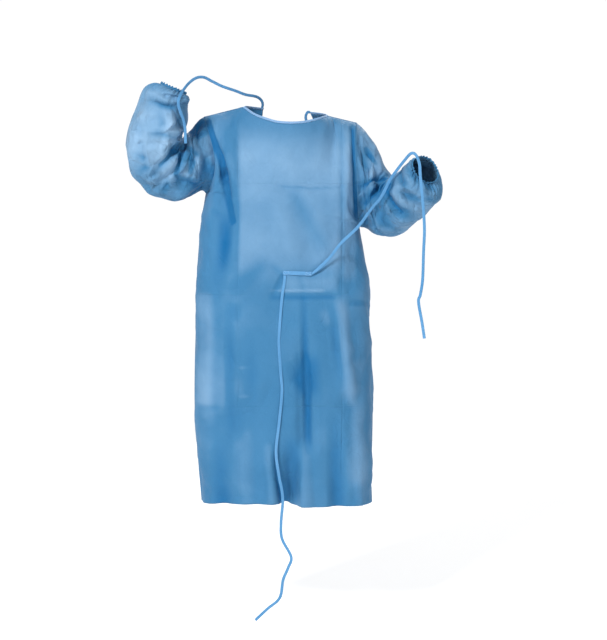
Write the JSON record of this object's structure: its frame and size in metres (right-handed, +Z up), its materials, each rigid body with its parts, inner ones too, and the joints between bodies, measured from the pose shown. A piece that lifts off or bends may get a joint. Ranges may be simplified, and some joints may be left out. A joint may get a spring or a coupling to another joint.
{
  "type": "disposable isolation gown",
  "caption": "Worn long-sleeved disposable gown of thin blue nonwoven, open down the back, with a wide bound neck, gathered elastic cuffs, neck ties and a front-sewn waist belt.",
  "frame": {"origin": "midway between the shoulders at the height of the neck, where the gown hangs on its wearer", "axes": "+Z up the body, -Y to the front of the gown, +X to the wearer's left"},
  "size_m": [0.888, 0.4076, 1.5628],
  "materials": {
    "gown_cloth": "matt nonwoven",
    "gown_trim": "matt nonwoven"
  },
  "bodies": {
    "root": {"front": "gown_cloth", "back_right": "gown_cloth", "back_left": "gown_cloth", "sleeve_right": "gown_cloth", "sleeve_left": "gown_cloth", "cuff_right": "gown_cloth", "cuff_left": "gown_cloth", "neck_binding": "gown_trim", "belt_front": "gown_trim", "neck_tie_right": "gown_trim", "neck_tie_left": "gown_trim", "belt_tie_right": "gown_trim", "belt_tie_left": "gown_trim"}
  },
  "joints": []
}
